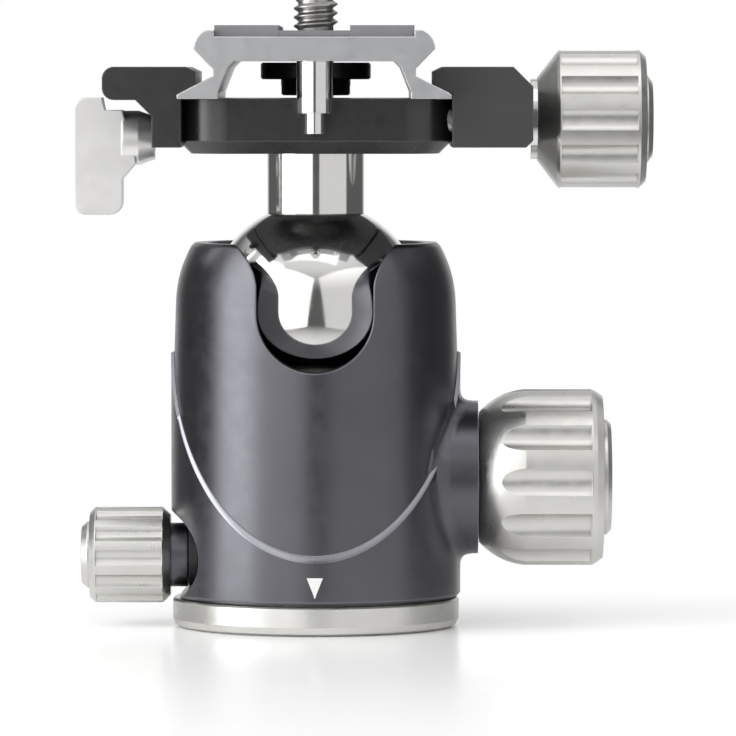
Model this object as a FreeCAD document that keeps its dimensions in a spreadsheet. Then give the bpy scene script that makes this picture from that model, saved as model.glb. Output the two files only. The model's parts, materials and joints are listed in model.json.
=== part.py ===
import FreeCAD, Part

import math
import os
import re

import Sketcher

# Tripod ball head: a panning base, a slotted casing with a polished ball, and a
# screw-knob clamp that holds a dovetail quick-release plate.
# Units are millimetres. The origin is the centre of the base's underside, +Z is up,
# the casing's drop notch faces -Y and the main lock knob faces +X.

V = FreeCAD.Vector
doc = FreeCAD.newDocument("BallHead")
sheet = doc.addObject("Spreadsheet::Sheet", "Sizes")

# Driving sizes, each named once: name, value.
SIZES = {
    # base
    "base_radius": 20.6,
    "base_height": 4.2,
    "base_edge": 1.3,
    "base_rim": 0.3,
    "running_gap": 0.2,
    "spindle_radius": 10.5,
    "spindle_rise": 11.8,
    "groove_depth": 1.2,
    "groove_half": 1.4,
    "thread_radius": 4.0,
    "insert_radius": 6.0,
    "insert_length": 9.5,
    "thrust_recess": 0.5,
    "thrust_inner": 12.0,
    "thrust_edge": 2.1,
    "retainer_radius": 13.4,
    "retainer_thickness": 1.2,
    "retainer_screw_count": 3,
    "retainer_screw_circle": 7.8,
    "retainer_screw_radius": 1.25,
    "retainer_screw_head": 2.4,
    "retainer_screw_length": 4.6,
    # casing
    "apron_overhang": 0.2,
    "apron_front": 10.7,
    "apron_peak": 39.3,
    "apron_step": 0.45,
    "casing_taper": 0.25,
    "casing_waist_rise": 1.5,
    "casing_top_radius": 17.9,
    "casing_rise": 9.7,
    "casing_edge": 0.5,
    "bore_radius": 15.65,
    "mouth_radius": 13.95,
    "mouth_flare": 1.75,
    "lip_height": 0.25,
    "floor_rim_width": 1.6,
    "floor_rim_gap": 0.3,
    "guide_thickness": 2.0,
    "guide_channel": 0.5,
    "boss_radius": 11.0,
    "boss_proud": 2.5,
    "notch_half": 8.3,
    "notch_flare_rise": 3.8,
    "notch_flare_half": 11.4,
    "saddle_radius": 7.3,
    "saddle_depth": 16.6,
    # ball and its seats
    "ball_height": 45.5,
    "ball_radius": 15.5,
    "ball_clearance": 0.03,
    "seat_low_rise": 2.2,
    "seat_top_rise": 7.0,
    "cup_rim_drop": 10.5,
    "cup_clearance": 0.12,
    "liner_thickness": 1.0,
    "liner_rim_gap": 0.8,
    "wedge_mid_height": 3.5,
    "wedge_slope": 0.2,
    "wedge_half_width": 7.0,
    "wedge_inner": 9.0,
    "wedge_outer": 11.0,
    "wedge_gap": 0.03,
    # main lock
    "main_axis": 21.4,
    "main_screw_radius": 4.0,
    "main_nose_radius": 2.2,
    "main_nose_gap": 0.25,
    "screw_fit": 0.05,
    "main_knob_gap": 0.2,
    "main_knob_length": 17.7,
    "main_knob_radius": 12.7,
    "main_knob_neck": 9.9,
    "main_knob_swell": 6.5,
    "main_knob_rim": 9.4,
    "main_knob_inner_edge": 0.5,
    "main_knob_shoulder": 1.6,
    "main_knob_break": 0.3,
    "main_knob_end_edge": 1.0,
    "main_knob_dish": 0.8,
    "main_flute_radius": 2.7,
    "main_flute_depth": 1.0,
    "main_flute_start": 1.0,
    "main_flute_stop": 1.8,
    "flute_count": 12,
    "dial_radius": 8.3,
    "dial_clearance": 0.25,
    "dial_depth": 3.2,
    "dial_proud": 1.2,
    "dial_edge": 0.6,
    "friction_tip_inset": 0.4,
    "friction_bore_gap": 0.5,
    "friction_screw_radius": 1.5,
    "friction_screw_length": 16.5,
    # pan lock
    "pan_axis": 10.2,
    "pan_screw_radius": 2.5,
    "shoe_radius": 2.4,
    "shoe_gap": 0.15,
    "shoe_length": 2.8,
    "pan_knob_inner": 20.9,
    "pan_knob_length": 11.6,
    "pan_knob_radius": 6.9,
    "pan_knob_chamfer": 1.1,
    "pan_knob_end_edge": 0.8,
    "pan_flute_radius": 1.5,
    "pan_flute_depth": 0.6,
    "pan_flute_stop": 1.0,
    "pan_collar_radius": 4.6,
    "pan_collar_length": 2.5,
    "pan_cap_radius": 4.8,
    "pan_cap_proud": 1.2,
    "pan_cap_depth": 1.5,
    "cap_gap": 0.1,
    # stem and clamp
    "stem_radius": 7.0,
    "stem_rise": 22.6,
    "bolt_radius": 3.0,
    "bolt_head_radius": 5.0,
    "bolt_head_height": 5.0,
    "bolt_grip": 2.0,
    "bolt_reach": 5.0,
    "bore_end_gap": 0.4,
    "bolt_head_gap": 0.3,
    "hex_radius": 2.4,
    "hex_depth": 3.0,
    "clamp_half_width": 19.4,
    "clamp_half_depth": 18.0,
    "clamp_height": 7.8,
    "clamp_corner": 7.0,
    "clamp_bevel": 1.8,
    "jaw_overlap": 0.5,
    "jaw_lip": 2.53,
    "jaw_tip_edge": 0.7,
    "jaw_bottom_rise": 0.9,
    "fixed_jaw_reach": 30.0,
    "fixed_jaw_foot": 23.0,
    "fixed_jaw_thickness": 4.7,
    "fixed_jaw_gusset": 2.3,
    "fixed_jaw_edge": 1.7,
    "jaw_tip": 16.8,
    "moving_jaw_reach": 30.8,
    "moving_jaw_slope": 2.8,
    "dovetail_gap": 0.12,
    "clamp_axis_rise": 4.8,
    "clamp_screw_radius": 3.0,
    "clamp_screw_depth": 10.9,
    "guide_pin_spacing": 24.0,
    "guide_pin_radius": 2.0,
    "guide_pin_depth": 13.0,
    "guide_pin_reach": 6.6,
    "clamp_washer_radius": 5.8,
    "clamp_washer_thickness": 1.0,
    "clamp_knob_length": 15.5,
    "clamp_knob_radius": 9.9,
    "clamp_knob_neck": 6.0,
    "clamp_knob_cone": 2.7,
    "clamp_knob_break": 0.4,
    "clamp_knob_end_edge": 0.9,
    "clamp_flute_radius": 2.0,
    "clamp_flute_depth": 0.8,
    "clamp_flute_start": 0.6,
    "clamp_flute_stop": 1.3,
    "clamp_cap_radius": 6.3,
    "clamp_cap_proud": 1.0,
    "clamp_cap_depth": 1.5,
    # safety catch
    "lever_axis_rise": 2.1,
    "lever_gap": 0.1,
    "lever_hub_radius": 3.9,
    "lever_hub_length": 4.6,
    "lever_arm_width": 6.9,
    "lever_arm_half": 3.0,
    "lever_top": 4.0,
    "lever_crown": 5.8,
    "lever_shelf_gap": 0.2,
    "lever_hub_taper": 0.8,
    "lever_web": 2.0,
    "lever_web_sink": 0.3,
    "lever_drop": 11.0,
    "lever_corner": 1.8,
    "pivot_radius": 1.0,
    "pivot_depth": 4.0,
    "catch_offset": 16.3,
    "catch_radius": 1.4,
    "catch_length": 5.4,
    "catch_rise": 1.0,
    "catch_slot_depth": 1.4,
    "catch_slot_gap": 0.4,
    "catch_slot_half_length": 3.9,
    # plate
    "plate_half_length": 26.0,
    "foot_half": 19.2,
    "foot_edge": 0.6,
    "waist_half": 14.2,
    "waist_rise": 3.2,
    "deck_half": 16.9,
    "deck_edge_rise": 7.0,
    "deck_rise": 8.7,
    "deck_thickness": 3.4,
    "lip_half": 15.0,
    "lip_rise": 0.9,
    "lip_bulge": 0.35,
    "leg_foot_inner": 13.5,
    "leg_foot_height": 0.9,
    "leg_top_inner": 12.1,
    "leg_top_edge": 0.9,
    "pad_inner": 5.0,
    "pad_outer": 14.0,
    "pad_height": 1.6,
    "pad_inset": 0.6,
    "pad_end": 1.6,
    "stop_inset": 3.0,
    "stop_radius": 2.5,
    "stop_length": 7.3,
    "stop_tip_radius": 1.4,
    "stop_tip_length": 2.9,
    "camera_thread_radius": 3.175,
    "camera_thread_rise": 4.8,
    "camera_tip_edge": 0.6,
    "camera_neck_radius": 2.5,
    "camera_neck_relief": 0.4,
    "camera_hole_gap": 0.25,
    "camera_flange_radius": 7.9,
    "camera_flange_thickness": 2.4,
    "camera_flange_gap": 0.2,
    "camera_boss_radius": 5.0,
    "camera_boss_length": 2.3,
    "camera_slot_width": 1.6,
    "camera_slot_depth": 1.4,
    "clip_radius": 4.7,
    "clip_thickness": 0.7,
    "clip_gap": 0.15,
}

# Places worked out from the driving sizes: name, expression.
WORKED = {
    "thrust_outer": "base_radius - thrust_edge",
    "apron_radius": "base_radius + apron_overhang",
    "casing_radius": "apron_radius - apron_step",
    "casing_waist": "casing_radius - casing_taper",
    "boss_reach": "apron_radius + boss_proud",
    "casing_top": "ball_height + casing_rise",
    "past_wall": "apron_radius * 1.2",
    "past_both_walls": "past_wall * 2",
    "casing_waist_height": "ball_height + casing_waist_rise",
    "notch_flare_start": "ball_height + notch_flare_rise",
    "clamp_bottom": "ball_height + stem_rise",
    "clamp_axis": "clamp_bottom + clamp_axis_rise",
    "lever_axis": "clamp_bottom + lever_axis_rise",
    "casing_bottom": "base_height + running_gap",
    "spindle_top": "base_height + spindle_rise",
    "groove_bottom": "spindle_radius - groove_depth",
    "floor_top": "spindle_top - running_gap / 2",
    "retainer_top": "spindle_top + retainer_thickness",
    "guide_bottom": "retainer_top + floor_rim_gap",
    "guide_top": "guide_bottom + guide_thickness",
    "wedge_bottom": "guide_top - guide_channel",
    "seat_top": "ball_height + seat_top_rise",
    "socket_radius": "ball_radius + ball_clearance",
    "liner_outer": "socket_radius + liner_thickness",
    "cup_radius": "bore_radius - cup_clearance",
    "cup_top": "ball_height - cup_rim_drop",
    "main_knob_inner": "boss_reach + main_knob_gap",
    "main_knob_end": "main_knob_inner + main_knob_length",
    "dial_floor": "main_knob_end - dial_depth",
    "shoe_outer": "spindle_radius + shoe_gap + shoe_length",
    "pan_knob_end": "pan_knob_inner + pan_knob_length",
    "pan_cap_floor": "pan_knob_end - pan_cap_depth",
    "clamp_top": "clamp_bottom + clamp_height",
    "bolt_seat": "clamp_bottom + bolt_grip",
    "jaw_bottom": "clamp_bottom + jaw_bottom_rise",
    "flank_slope": "(waist_rise - foot_edge) / (foot_half - waist_half)",
    "jaw_flank_low": "clamp_top + foot_edge + dovetail_gap",
    "jaw_flank_high": "jaw_flank_low + (foot_half - jaw_tip) * flank_slope",
    "jaw_top": "jaw_flank_high + jaw_lip",
    "fixed_jaw_bottom": "jaw_top - fixed_jaw_thickness",
    "clamp_screw_end": "clamp_half_width - clamp_screw_depth",
    "washer_outer": "moving_jaw_reach + clamp_washer_thickness",
    "clamp_knob_end": "washer_outer + clamp_knob_length",
    "clamp_cap_floor": "clamp_knob_end - clamp_cap_depth",
    "lever_inner": "fixed_jaw_foot + lever_gap",
    "lever_arm_inner": "lever_inner + lever_hub_length",
    "lever_shelf": "fixed_jaw_reach + lever_shelf_gap",
    "catch_top": "clamp_top + catch_rise",
    "deck_top": "clamp_top + deck_rise",
    "deck_bottom": "deck_top - deck_thickness",
    "pad_top": "deck_top + pad_height",
    "camera_tip": "pad_top + camera_thread_rise",
    "camera_flange_top": "deck_bottom - camera_flange_gap",
    "camera_flange_bottom": "camera_flange_top - camera_flange_thickness",
    "camera_head_bottom": "camera_flange_bottom - camera_boss_length",
}

NAMES = {}
for row, (name, value) in enumerate([*SIZES.items(), *WORKED.items()], start=1):
    text = str(value) if name in SIZES else "=" + value
    sheet.set(f"A{row}", text)
    sheet.setAlias(f"A{row}", name)
    NAMES[name] = f"Sizes.{name}"
doc.recompute()


def bound(text):
    """An expression for other objects: each size's name is given its sheet."""
    return re.sub(r"[a-z_]+", lambda word: NAMES.get(word.group(), word.group()), str(text))


def worth(text):
    """The present value of an expression over the sheet's names."""
    return float(sheet.evalExpression(str(text)))


# The middle of a quarter round lies this share of its radius inside the corner.
QUARTER_ROUND = 0.2929


def arc_through(start, via, end):
    """An anticlockwise sketch arc through three points."""
    circle = Part.Arc(start, via, end).toShape().Curve
    centre = circle.Center
    angles = [math.atan2(p.y - centre.y, p.x - centre.x) for p in (start, via, end)]
    first, middle, last = (angle % (2 * math.pi) for angle in angles)
    if (middle - first) % (2 * math.pi) > (last - first) % (2 * math.pi):
        first, last = last, first
    upright = Part.Circle(centre, V(0, 0, 1), circle.Radius)
    return Part.ArcOfCircle(upright, first, last)


def add_outline(sketch, points):
    """A closed outline of points (x, y), or (x, y, via_x, via_y) where an arc follows."""
    places = [V(worth(p[0]), worth(p[1]), 0) for p in points]
    edges = []
    for i, point in enumerate(points):
        start, end = places[i], places[(i + 1) % len(points)]
        if len(point) == 4:
            via = V(worth(point[2]), worth(point[3]), 0)
            edges.append(sketch.addGeometry(arc_through(start, via, end), False))
        else:
            edges.append(sketch.addGeometry(Part.LineSegment(start, end), False))
    ends = []
    for place, edge in zip(places, edges):
        begins = sketch.Geometry[edge].StartPoint.distanceToPoint(place) < 1e-6
        ends.append((1, 2) if begins else (2, 1))
    for i, point in enumerate(points):
        following = (i + 1) % len(points)
        sketch.addConstraint(
            Sketcher.Constraint("Coincident", edges[i], ends[i][1], edges[following], ends[following][0])
        )
        fix_point(sketch, edges[i], ends[i][0], point[0], point[1])
        if len(point) == 4:
            spot = V(worth(point[2]), worth(point[3]), 0)
            mark = sketch.addGeometry(Part.Point(spot), True)
            sketch.addConstraint(Sketcher.Constraint("PointOnObject", mark, 1, edges[i]))
            fix_point(sketch, mark, 1, point[2], point[3])


def fix_point(sketch, edge, end, x, y):
    """Hold a point at two expressions."""
    for kind, text in (("DistanceX", x), ("DistanceY", y)):
        row = sketch.addConstraint(Sketcher.Constraint(kind, edge, end, worth(text)))
        sketch.setExpression(f"Constraints[{row}]", bound(text))


def add_circle(sketch, x, y, radius):
    """A circle held at two expressions, with a bound radius."""
    circle = Part.Circle(V(worth(x), worth(y), 0), V(0, 0, 1), worth(radius))
    edge = sketch.addGeometry(circle, False)
    fix_point(sketch, edge, 3, x, y)
    row = sketch.addConstraint(Sketcher.Constraint("Radius", edge, worth(radius)))
    sketch.setExpression(f"Constraints[{row}]", bound(radius))


LEAN = {"+Z": 0, "+X": 90, "-X": -90}


def new_body(label, lies_along="+Z", height="0"):
    """A body whose own Z axis lies along the named direction, at a height."""
    body = doc.addObject("PartDesign::Body", label)
    lean = FreeCAD.Rotation(V(0, 1, 0), LEAN[lies_along])
    body.Placement = FreeCAD.Placement(V(0, 0, 0), lean)
    body.setExpression("Placement.Base.z", bound(height))
    return body


def new_sketch(body, plane, offset="0"):
    """An empty sketch on one of the body's planes, offset along the plane's normal."""
    sketch = body.newObject("Sketcher::SketchObject", "Outline")
    role = plane + "_Plane"
    support = [o for o in body.Origin.OriginFeatures if o.Role == role][0]
    sketch.AttachmentSupport = [(support, "")]
    sketch.MapMode = "FlatFace"
    sketch.setExpression("AttachmentOffset.Base.z", bound(offset))
    return sketch


def feature(body, kind, sketch, **settings):
    """A PartDesign feature on a sketch; its effect on the volume is checked."""
    before = body.Shape.Volume if body.Tip else 0.0
    item = body.newObject("PartDesign::" + kind, kind)
    item.Profile = sketch
    for prop, value in settings.items():
        if isinstance(value, str):
            item.setExpression(prop, bound(value))
        else:
            setattr(item, prop, value)
    doc.recompute()
    change = body.Shape.Volume - before
    grows = kind in ("Pad", "Revolution")
    if (change > 0) != grows or abs(change) < 1e-4:
        raise ValueError(f"{body.Name} {kind} {item.State} changes the volume by {change:.4f}")
    return item


def turned(label, points, lies_along="+Z", height="0"):
    """A body turned about its own Z axis from an outline of (radius, height)."""
    body = new_body(label, lies_along, height)
    turn(body, points)
    return body


def turn(body, points, kind="Revolution"):
    """Add or cut a turned form about the body's Z axis."""
    sketch = new_sketch(body, "XZ")
    add_outline(sketch, points)
    axis = (sketch, ["V_Axis"])
    return feature(body, kind, sketch, ReferenceAxis=axis, Angle=360)


def extrude(body, kind, plane, offset, length, outline=None, circles=(), **settings):
    """A pad or a pocket of an outline and circles, from an offset plane."""
    sketch = new_sketch(body, plane, offset)
    if outline:
        add_outline(sketch, outline)
    for circle in circles:
        add_circle(sketch, *circle)
    return feature(body, kind, sketch, Length=length, **settings)


def repeat(body, item, count):
    """Repeat a feature round the body's Z axis."""
    pattern = body.newObject("PartDesign::PolarPattern", "Around")
    pattern.Originals = [item]
    axis = [o for o in body.Origin.OriginFeatures if o.Role == "Z_Axis"][0]
    pattern.Axis = (axis, [""])
    pattern.Angle = 360
    pattern.setExpression("Occurrences", bound(count))
    body.Tip = pattern
    doc.recompute()


def flute(body, radius, cutter, depth, start, length):
    """Straight flutes round a turned knob, each a cutter's width and depth."""
    circles = [(f"{radius} + {cutter} - {depth}", "0", cutter)]
    item = extrude(body, "Pocket", "XY", start, length, circles=circles, Reversed=True)
    repeat(body, item, "flute_count")


def rod(label, radius, low, high, x="0", y="0"):
    """An upright round bar between two heights."""
    bar = doc.addObject("Part::Cylinder", label)
    bar.setExpression("Radius", bound(radius))
    bar.setExpression("Height", bound(f"({high}) - ({low})"))
    for name, text in (("x", x), ("y", y), ("z", low)):
        bar.setExpression(f"Placement.Base.{name}", bound(text))
    return bar


def joined(label, pieces):
    """Pieces fused into one solid."""
    item = doc.addObject("Part::MultiFuse", label)
    item.Shapes = pieces
    return item


def group(label, pieces):
    """Like pieces kept as separate solids in one node."""
    item = doc.addObject("Part::Compound", label)
    item.Links = pieces
    return item


def make_base_plate():
    """The turned base with its spindle, clamped by the pan lock in a V groove."""
    body = turned(
        "base_plate",
        [
            ("insert_radius", "0"),
            ("base_radius - base_edge", "0"),
            ("base_radius - base_edge * 0.3", "base_edge * 0.3"),
            ("base_radius", "base_edge"),
            ("base_radius", "base_height - base_rim"),
            ("base_radius - base_rim", "base_height"),
            ("thrust_outer", "base_height"),
            ("thrust_outer", "base_height - thrust_recess"),
            ("thrust_inner", "base_height - thrust_recess"),
            ("thrust_inner", "base_height"),
            ("spindle_radius", "base_height"),
            ("spindle_radius", "pan_axis - groove_half"),
            ("groove_bottom", "pan_axis"),
            ("spindle_radius", "pan_axis + groove_half"),
            ("spindle_radius", "spindle_top"),
            ("0", "spindle_top"),
            ("0", "insert_length"),
            ("insert_radius", "insert_length"),
        ],
    )
    hole = extrude(
        body,
        "Pocket",
        "XY",
        "spindle_top",
        "retainer_screw_length",
        circles=[("retainer_screw_circle", "0", "retainer_screw_radius")],
    )
    repeat(body, hole, "retainer_screw_count")
    return body


def ring(label, inner, outer, low, high, lies_along="+Z", height="0"):
    """A plain turned ring."""
    return turned(label, [(inner, low), (outer, low), (outer, high), (inner, high)], lies_along, height)


def make_retainer():
    """The disc on the spindle that keeps the casing down, and its three screws."""
    disc = turned(
        "pan_retainer",
        [
            ("0", "spindle_top"),
            ("retainer_radius", "spindle_top"),
            ("retainer_radius", "retainer_top"),
            ("0", "retainer_top"),
        ],
    )
    hole = extrude(
        disc,
        "Pocket",
        "XY",
        "retainer_top",
        "retainer_thickness",
        circles=[("retainer_screw_circle", "0", "retainer_screw_head")],
    )
    repeat(disc, hole, "retainer_screw_count")
    screws = []
    for number in range(round(worth("retainer_screw_count"))):
        turn_to = f"360 / retainer_screw_count * {number}"
        x = f"retainer_screw_circle * cos({turn_to})"
        y = f"retainer_screw_circle * sin({turn_to})"
        low = "spindle_top - retainer_screw_length"
        shank = rod(f"shank_{number}", "retainer_screw_radius", low, "spindle_top", x, y)
        head = rod(f"head_{number}", "retainer_screw_head", "spindle_top", "retainer_top", x, y)
        screws.append(joined(f"retainer_screw_{number}", [shank, head]))
    return disc, group("retainer_screws", screws)


def make_casing():
    """The slotted housing: apron, upper wall with its mouth, boss, notch and bores."""
    body = turned(
        "casing",
        [
            ("bore_radius", "casing_bottom"),
            ("apron_radius - casing_edge", "casing_bottom"),
            ("apron_radius", "casing_bottom + casing_edge"),
            ("apron_radius", "apron_peak"),
            ("bore_radius", "apron_peak"),
        ],
    )
    reach = "past_wall"
    drop = "apron_front - (apron_peak - apron_front) * 0.2"
    above = [
        (f"-{reach}", drop),
        ("0", "apron_peak"),
        (reach, drop),
        (reach, "casing_top"),
        (f"-{reach}", "casing_top"),
    ]
    extrude(body, "Pocket", "YZ", "0", "past_both_walls", outline=above, Midplane=True)
    shoulder = "casing_top - casing_edge"
    turn(
        body,
        [
            ("bore_radius", "casing_bottom"),
            ("casing_radius - casing_edge", "casing_bottom"),
            ("casing_radius", "casing_bottom + casing_edge"),
            ("casing_radius", "apron_peak"),
            (
                "casing_waist",
                "casing_waist_height",
                "casing_waist * 0.72 + casing_top_radius * 0.28",
                f"casing_waist_height * 0.5 + ({shoulder}) * 0.5",
            ),
            ("casing_top_radius", shoulder),
            ("casing_top_radius - casing_edge", "casing_top"),
            ("mouth_radius + mouth_flare", "casing_top"),
            ("mouth_radius", "seat_top + lip_height"),
            ("mouth_radius", "seat_top"),
            ("bore_radius", "seat_top"),
        ],
    )
    wall = "bore_radius + 1"
    boss = [("0", "main_axis", "boss_radius")]
    extrude(body, "Pad", "YZ", wall, f"boss_reach - ({wall})", circles=boss)
    half = "notch_half"
    notch = [
        (half, "ball_height"),
        (half, "notch_flare_start", "notch_half * 0.64 + notch_flare_half * 0.36",
         "notch_flare_start * 0.42 + casing_top * 0.58"),
        ("notch_flare_half", "casing_top"),
        ("notch_flare_half", "casing_top + 2"),
        ("-notch_flare_half", "casing_top + 2"),
        ("-notch_flare_half", "casing_top", "-(notch_half * 0.64 + notch_flare_half * 0.36)",
         "notch_flare_start * 0.42 + casing_top * 0.58"),
        ("-notch_half", "notch_flare_start"),
        ("-notch_half", "ball_height", "0", "ball_height - notch_half"),
    ]
    extrude(body, "Pocket", "XZ", "0", "past_wall", outline=notch, Reversed=True)
    saddle = [("-(saddle_depth + saddle_radius)", "pan_axis", "saddle_radius")]
    extrude(body, "Pocket", "XZ", "0", "past_both_walls", circles=saddle, Midplane=True)
    fit = "main_screw_radius + screw_fit"
    extrude(body, "Pocket", "YZ", "0", "boss_reach + 1", circles=[("0", "main_axis", fit)], Reversed=True)
    fit = "pan_screw_radius + screw_fit"
    extrude(body, "Pocket", "YZ", "0", "past_wall", circles=[("0", "pan_axis", fit)])
    return body


def make_floor():
    """The ring screwed into the casing's bottom, which turns on the spindle."""
    body = turned(
        "casing_floor",
        [
            ("spindle_radius + screw_fit", "casing_bottom"),
            ("bore_radius", "casing_bottom"),
            ("bore_radius", "guide_bottom"),
            ("bore_radius - floor_rim_width", "guide_bottom"),
            ("bore_radius - floor_rim_width", "floor_top"),
            ("spindle_radius + screw_fit", "floor_top"),
        ],
    )
    fit = "pan_screw_radius + screw_fit"
    extrude(body, "Pocket", "YZ", "0", "bore_radius + 1", circles=[("0", "pan_axis", fit)])
    return body


def make_guide():
    """The track plate over the floor ring, with a channel for the wedge."""
    body = turned(
        "wedge_guide",
        [
            ("0", "guide_bottom"),
            ("bore_radius", "guide_bottom"),
            ("bore_radius", "guide_top"),
            ("0", "guide_top"),
        ],
    )
    half = "wedge_half_width + screw_fit"
    channel = [
        ("-bore_radius - 1", f"-({half})"),
        ("bore_radius + 1", f"-({half})"),
        ("bore_radius + 1", half),
        ("-bore_radius - 1", half),
    ]
    extrude(body, "Pocket", "XY", "guide_top", "guide_channel", outline=channel)
    return body


def on_sphere(radius, height):
    """The radius of a sphere about the ball's centre at a height, as an expression."""
    return f"sqrt(({radius}) ^ 2 - (({height}) - ball_height) ^ 2)"


def make_seat():
    """The low-friction ring over the ball, open at the notch."""
    low = "ball_height + seat_low_rise"
    middle = "ball_height + (seat_low_rise + seat_top_rise) / 2"
    body = turned(
        "seat_ring",
        [
            ("bore_radius", low),
            ("bore_radius", "seat_top"),
            (on_sphere("socket_radius", "seat_top"), "seat_top", on_sphere("socket_radius", middle), middle),
            (on_sphere("socket_radius", low), low),
        ],
    )
    opening = [
        ("-notch_flare_half", f"{low} - 1"),
        ("notch_flare_half", f"{low} - 1"),
        ("notch_flare_half", "seat_top + 1"),
        ("-notch_flare_half", "seat_top + 1"),
    ]
    extrude(body, "Pocket", "XZ", "0", "apron_radius", outline=opening, Reversed=True)
    return body


def make_wedge():
    """The sliding wedge that lifts the cup when the main screw pushes it."""
    body = new_body("wedge")
    top = "wedge_bottom + wedge_mid_height"
    outline = [
        ("-wedge_inner", "wedge_bottom"),
        ("wedge_outer", "wedge_bottom"),
        ("wedge_outer", f"{top} + wedge_outer * wedge_slope"),
        ("-wedge_inner", f"{top} - wedge_inner * wedge_slope"),
    ]
    extrude(body, "Pad", "XZ", "0", "wedge_half_width * 2", outline=outline, Midplane=True)
    return body


def make_cup():
    """The cup under the ball with its slanted underside, and the liner in it."""
    middle = "(cup_top + ball_height - liner_outer) / 2"
    cup = turned(
        "ball_cup",
        [
            ("0", "guide_top"),
            ("cup_radius", "guide_top"),
            ("cup_radius", "cup_top"),
            (on_sphere("liner_outer", "cup_top"), "cup_top", on_sphere("liner_outer", middle), middle),
            ("0", "ball_height - liner_outer"),
        ],
    )
    top = "wedge_bottom + wedge_mid_height + wedge_gap"
    reach = "cup_radius + 1"
    below = [
        (f"-({reach})", "guide_top - 2"),
        (reach, "guide_top - 2"),
        (reach, f"{top} + ({reach}) * wedge_slope"),
        (f"-({reach})", f"{top} - ({reach}) * wedge_slope"),
    ]
    extrude(cup, "Pocket", "XZ", "0", "bore_radius * 2.2", outline=below, Midplane=True)
    rim = "cup_top - liner_rim_gap"
    middle_in = f"(({rim}) + ball_height - socket_radius) / 2"
    middle_out = f"(({rim}) + ball_height - liner_outer) / 2"
    liner = turned(
        "cup_liner",
        [
            ("0", "ball_height - liner_outer", on_sphere("liner_outer", middle_out), middle_out),
            (on_sphere("liner_outer", rim), rim),
            (on_sphere("socket_radius", rim), rim, on_sphere("socket_radius", middle_in), middle_in),
            ("0", "ball_height - socket_radius"),
        ],
    )
    return cup, liner


def make_main_lock():
    """The main screw, its fluted knob, and the friction dial with its inner screw."""
    fit = "friction_screw_radius + screw_fit"
    nose = "bore_radius + main_nose_gap"
    bore_end = "dial_floor - friction_screw_length - friction_bore_gap"
    turned(
        "main_screw",
        [
            ("0", "wedge_outer"),
            ("main_nose_radius", "wedge_outer"),
            ("main_nose_radius", nose),
            ("main_screw_radius", nose),
            ("main_screw_radius", "dial_floor"),
            (fit, "dial_floor"),
            (fit, bore_end),
            ("0", bore_end),
        ],
        "+X",
        "main_axis",
    )
    knob = turned(
        "main_knob",
        [
            ("main_screw_radius", "main_knob_inner"),
            ("main_knob_neck - main_knob_inner_edge", "main_knob_inner"),
            (
                "main_knob_neck",
                "main_knob_inner + main_knob_inner_edge",
                "main_knob_neck * 0.32 + main_knob_radius * 0.68",
                "main_knob_inner + main_knob_swell * 0.5",
            ),
            ("main_knob_radius", "main_knob_inner + main_knob_swell"),
            ("main_knob_radius", "main_knob_end - main_knob_shoulder"),
            ("main_knob_radius - main_knob_break", "main_knob_end - main_knob_end_edge"),
            ("main_knob_radius - main_knob_end_edge", "main_knob_end"),
            ("main_knob_rim", "main_knob_end"),
            ("main_knob_rim - main_knob_inner_edge", "main_knob_end - main_knob_inner_edge"),
            ("dial_radius + dial_clearance", "main_knob_end - main_knob_dish"),
            ("dial_radius + dial_clearance", "dial_floor"),
            ("main_screw_radius", "dial_floor"),
        ],
        "+X",
        "main_axis",
    )
    flute(
        knob,
        "main_knob_radius",
        "main_flute_radius",
        "main_flute_depth",
        "main_knob_inner + main_flute_start",
        "main_knob_length - main_flute_start - main_flute_stop",
    )
    turned(
        "friction_dial",
        [
            ("friction_screw_radius", "dial_floor + screw_fit"),
            ("dial_radius", "dial_floor + screw_fit"),
            ("dial_radius", "main_knob_end + dial_proud - dial_edge"),
            ("dial_radius - dial_edge", "main_knob_end + dial_proud"),
            ("friction_screw_radius", "main_knob_end + dial_proud"),
        ],
        "+X",
        "main_axis",
    )
    turned(
        "friction_screw",
        [
            ("0", "dial_floor - friction_screw_length"),
            ("friction_screw_radius", "dial_floor - friction_screw_length"),
            ("friction_screw_radius", "main_knob_end + dial_proud - friction_tip_inset"),
            ("0", "main_knob_end + dial_proud - friction_tip_inset"),
        ],
        "+X",
        "main_axis",
    )


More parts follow.
